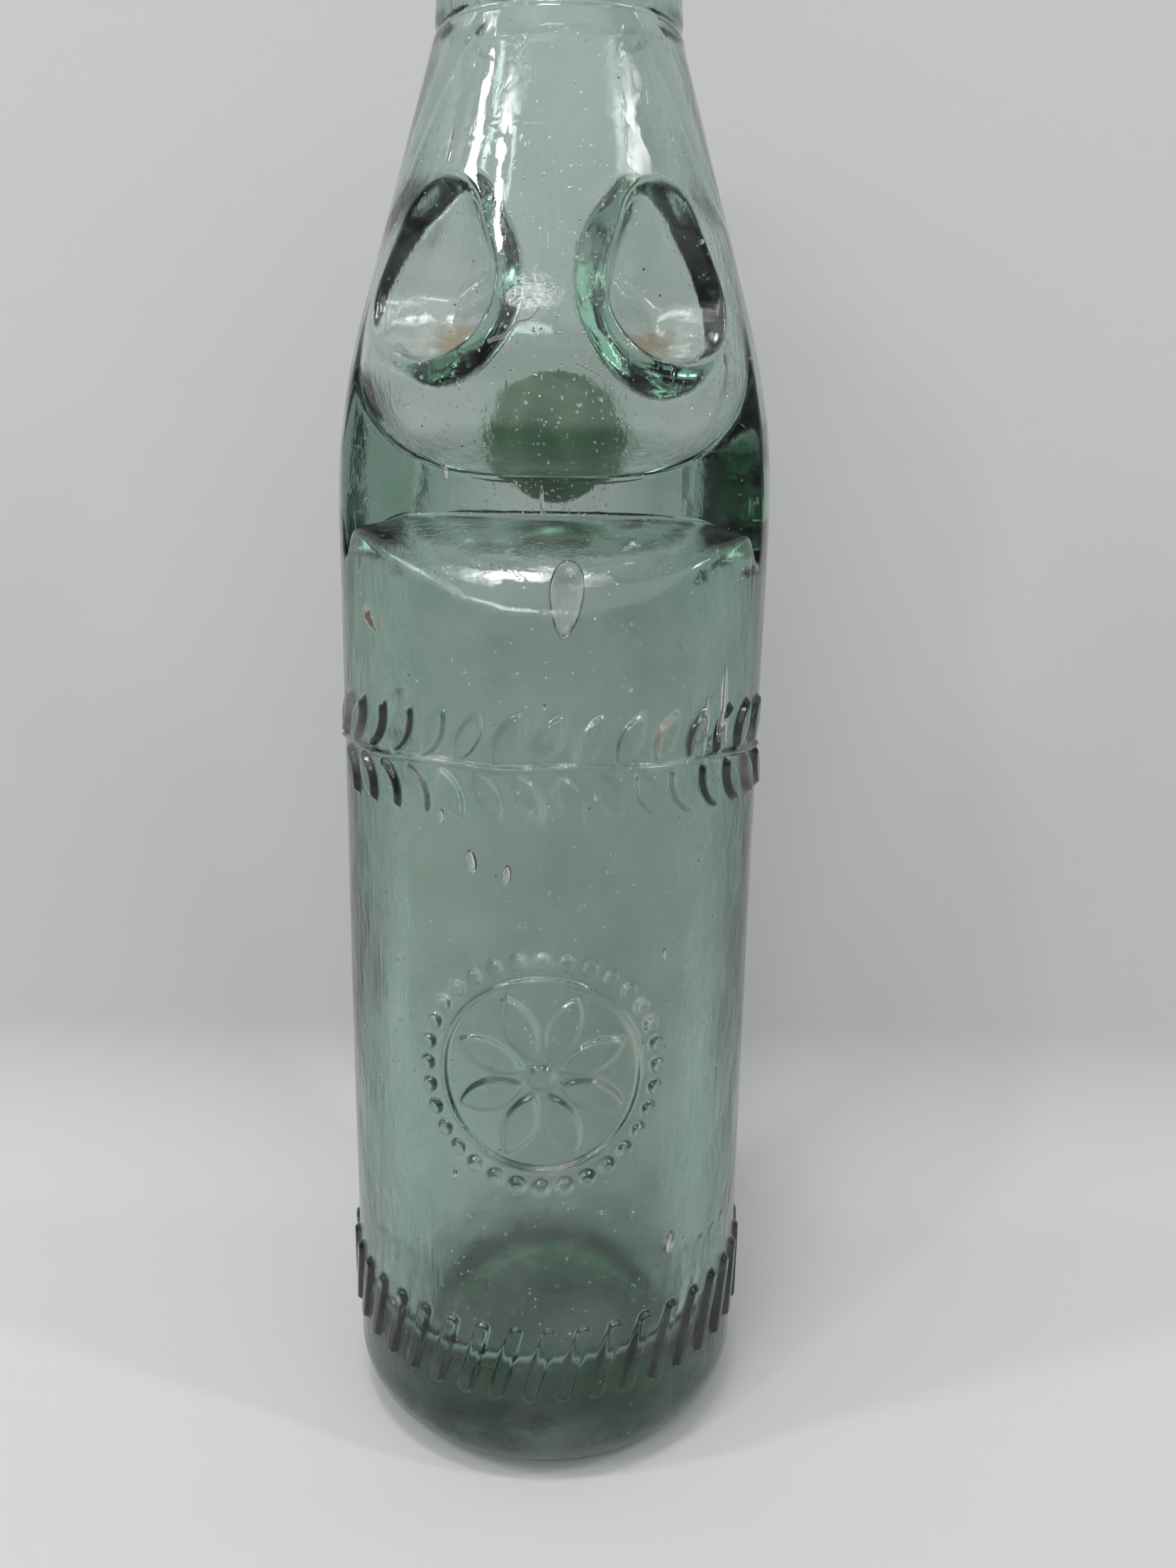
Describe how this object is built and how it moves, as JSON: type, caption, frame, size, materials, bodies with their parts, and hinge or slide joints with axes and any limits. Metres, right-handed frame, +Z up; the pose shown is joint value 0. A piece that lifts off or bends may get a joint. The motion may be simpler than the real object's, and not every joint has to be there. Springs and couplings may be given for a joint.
{
  "type": "marble stopper bottle",
  "caption": "Tall aqua glass drinks bottle closed by a loose marble that rises against a rubber ring, with a pinched throat, two ears and a thick base.",
  "frame": {"origin": "centre of the ring that the base rests on", "axes": "+Z up the bottle towards the mouth, -Y towards the front, the side with the two ears, +X to the right seen from the front"},
  "size_m": [0.059, 0.059, 0.224],
  "materials": {
    "glass": "clear aqua, fire polished and lightly worn",
    "lip_glass": "clear aqua, tooled",
    "marble_glass": "dull grey-green, worn",
    "rubber": "matte, aged"
  },
  "bodies": {
    "body": {"bottle": "glass", "applied_lip": "lip_glass", "seal_ring": "rubber"},
    "marble": {"marble": "marble_glass"}
  },
  "joints": [
    {"name": "marble_rise", "type": "slide", "parent": "body", "child": "marble", "axis": [0, 0, 1], "range_m": [0, 0.0627]}
  ]
}
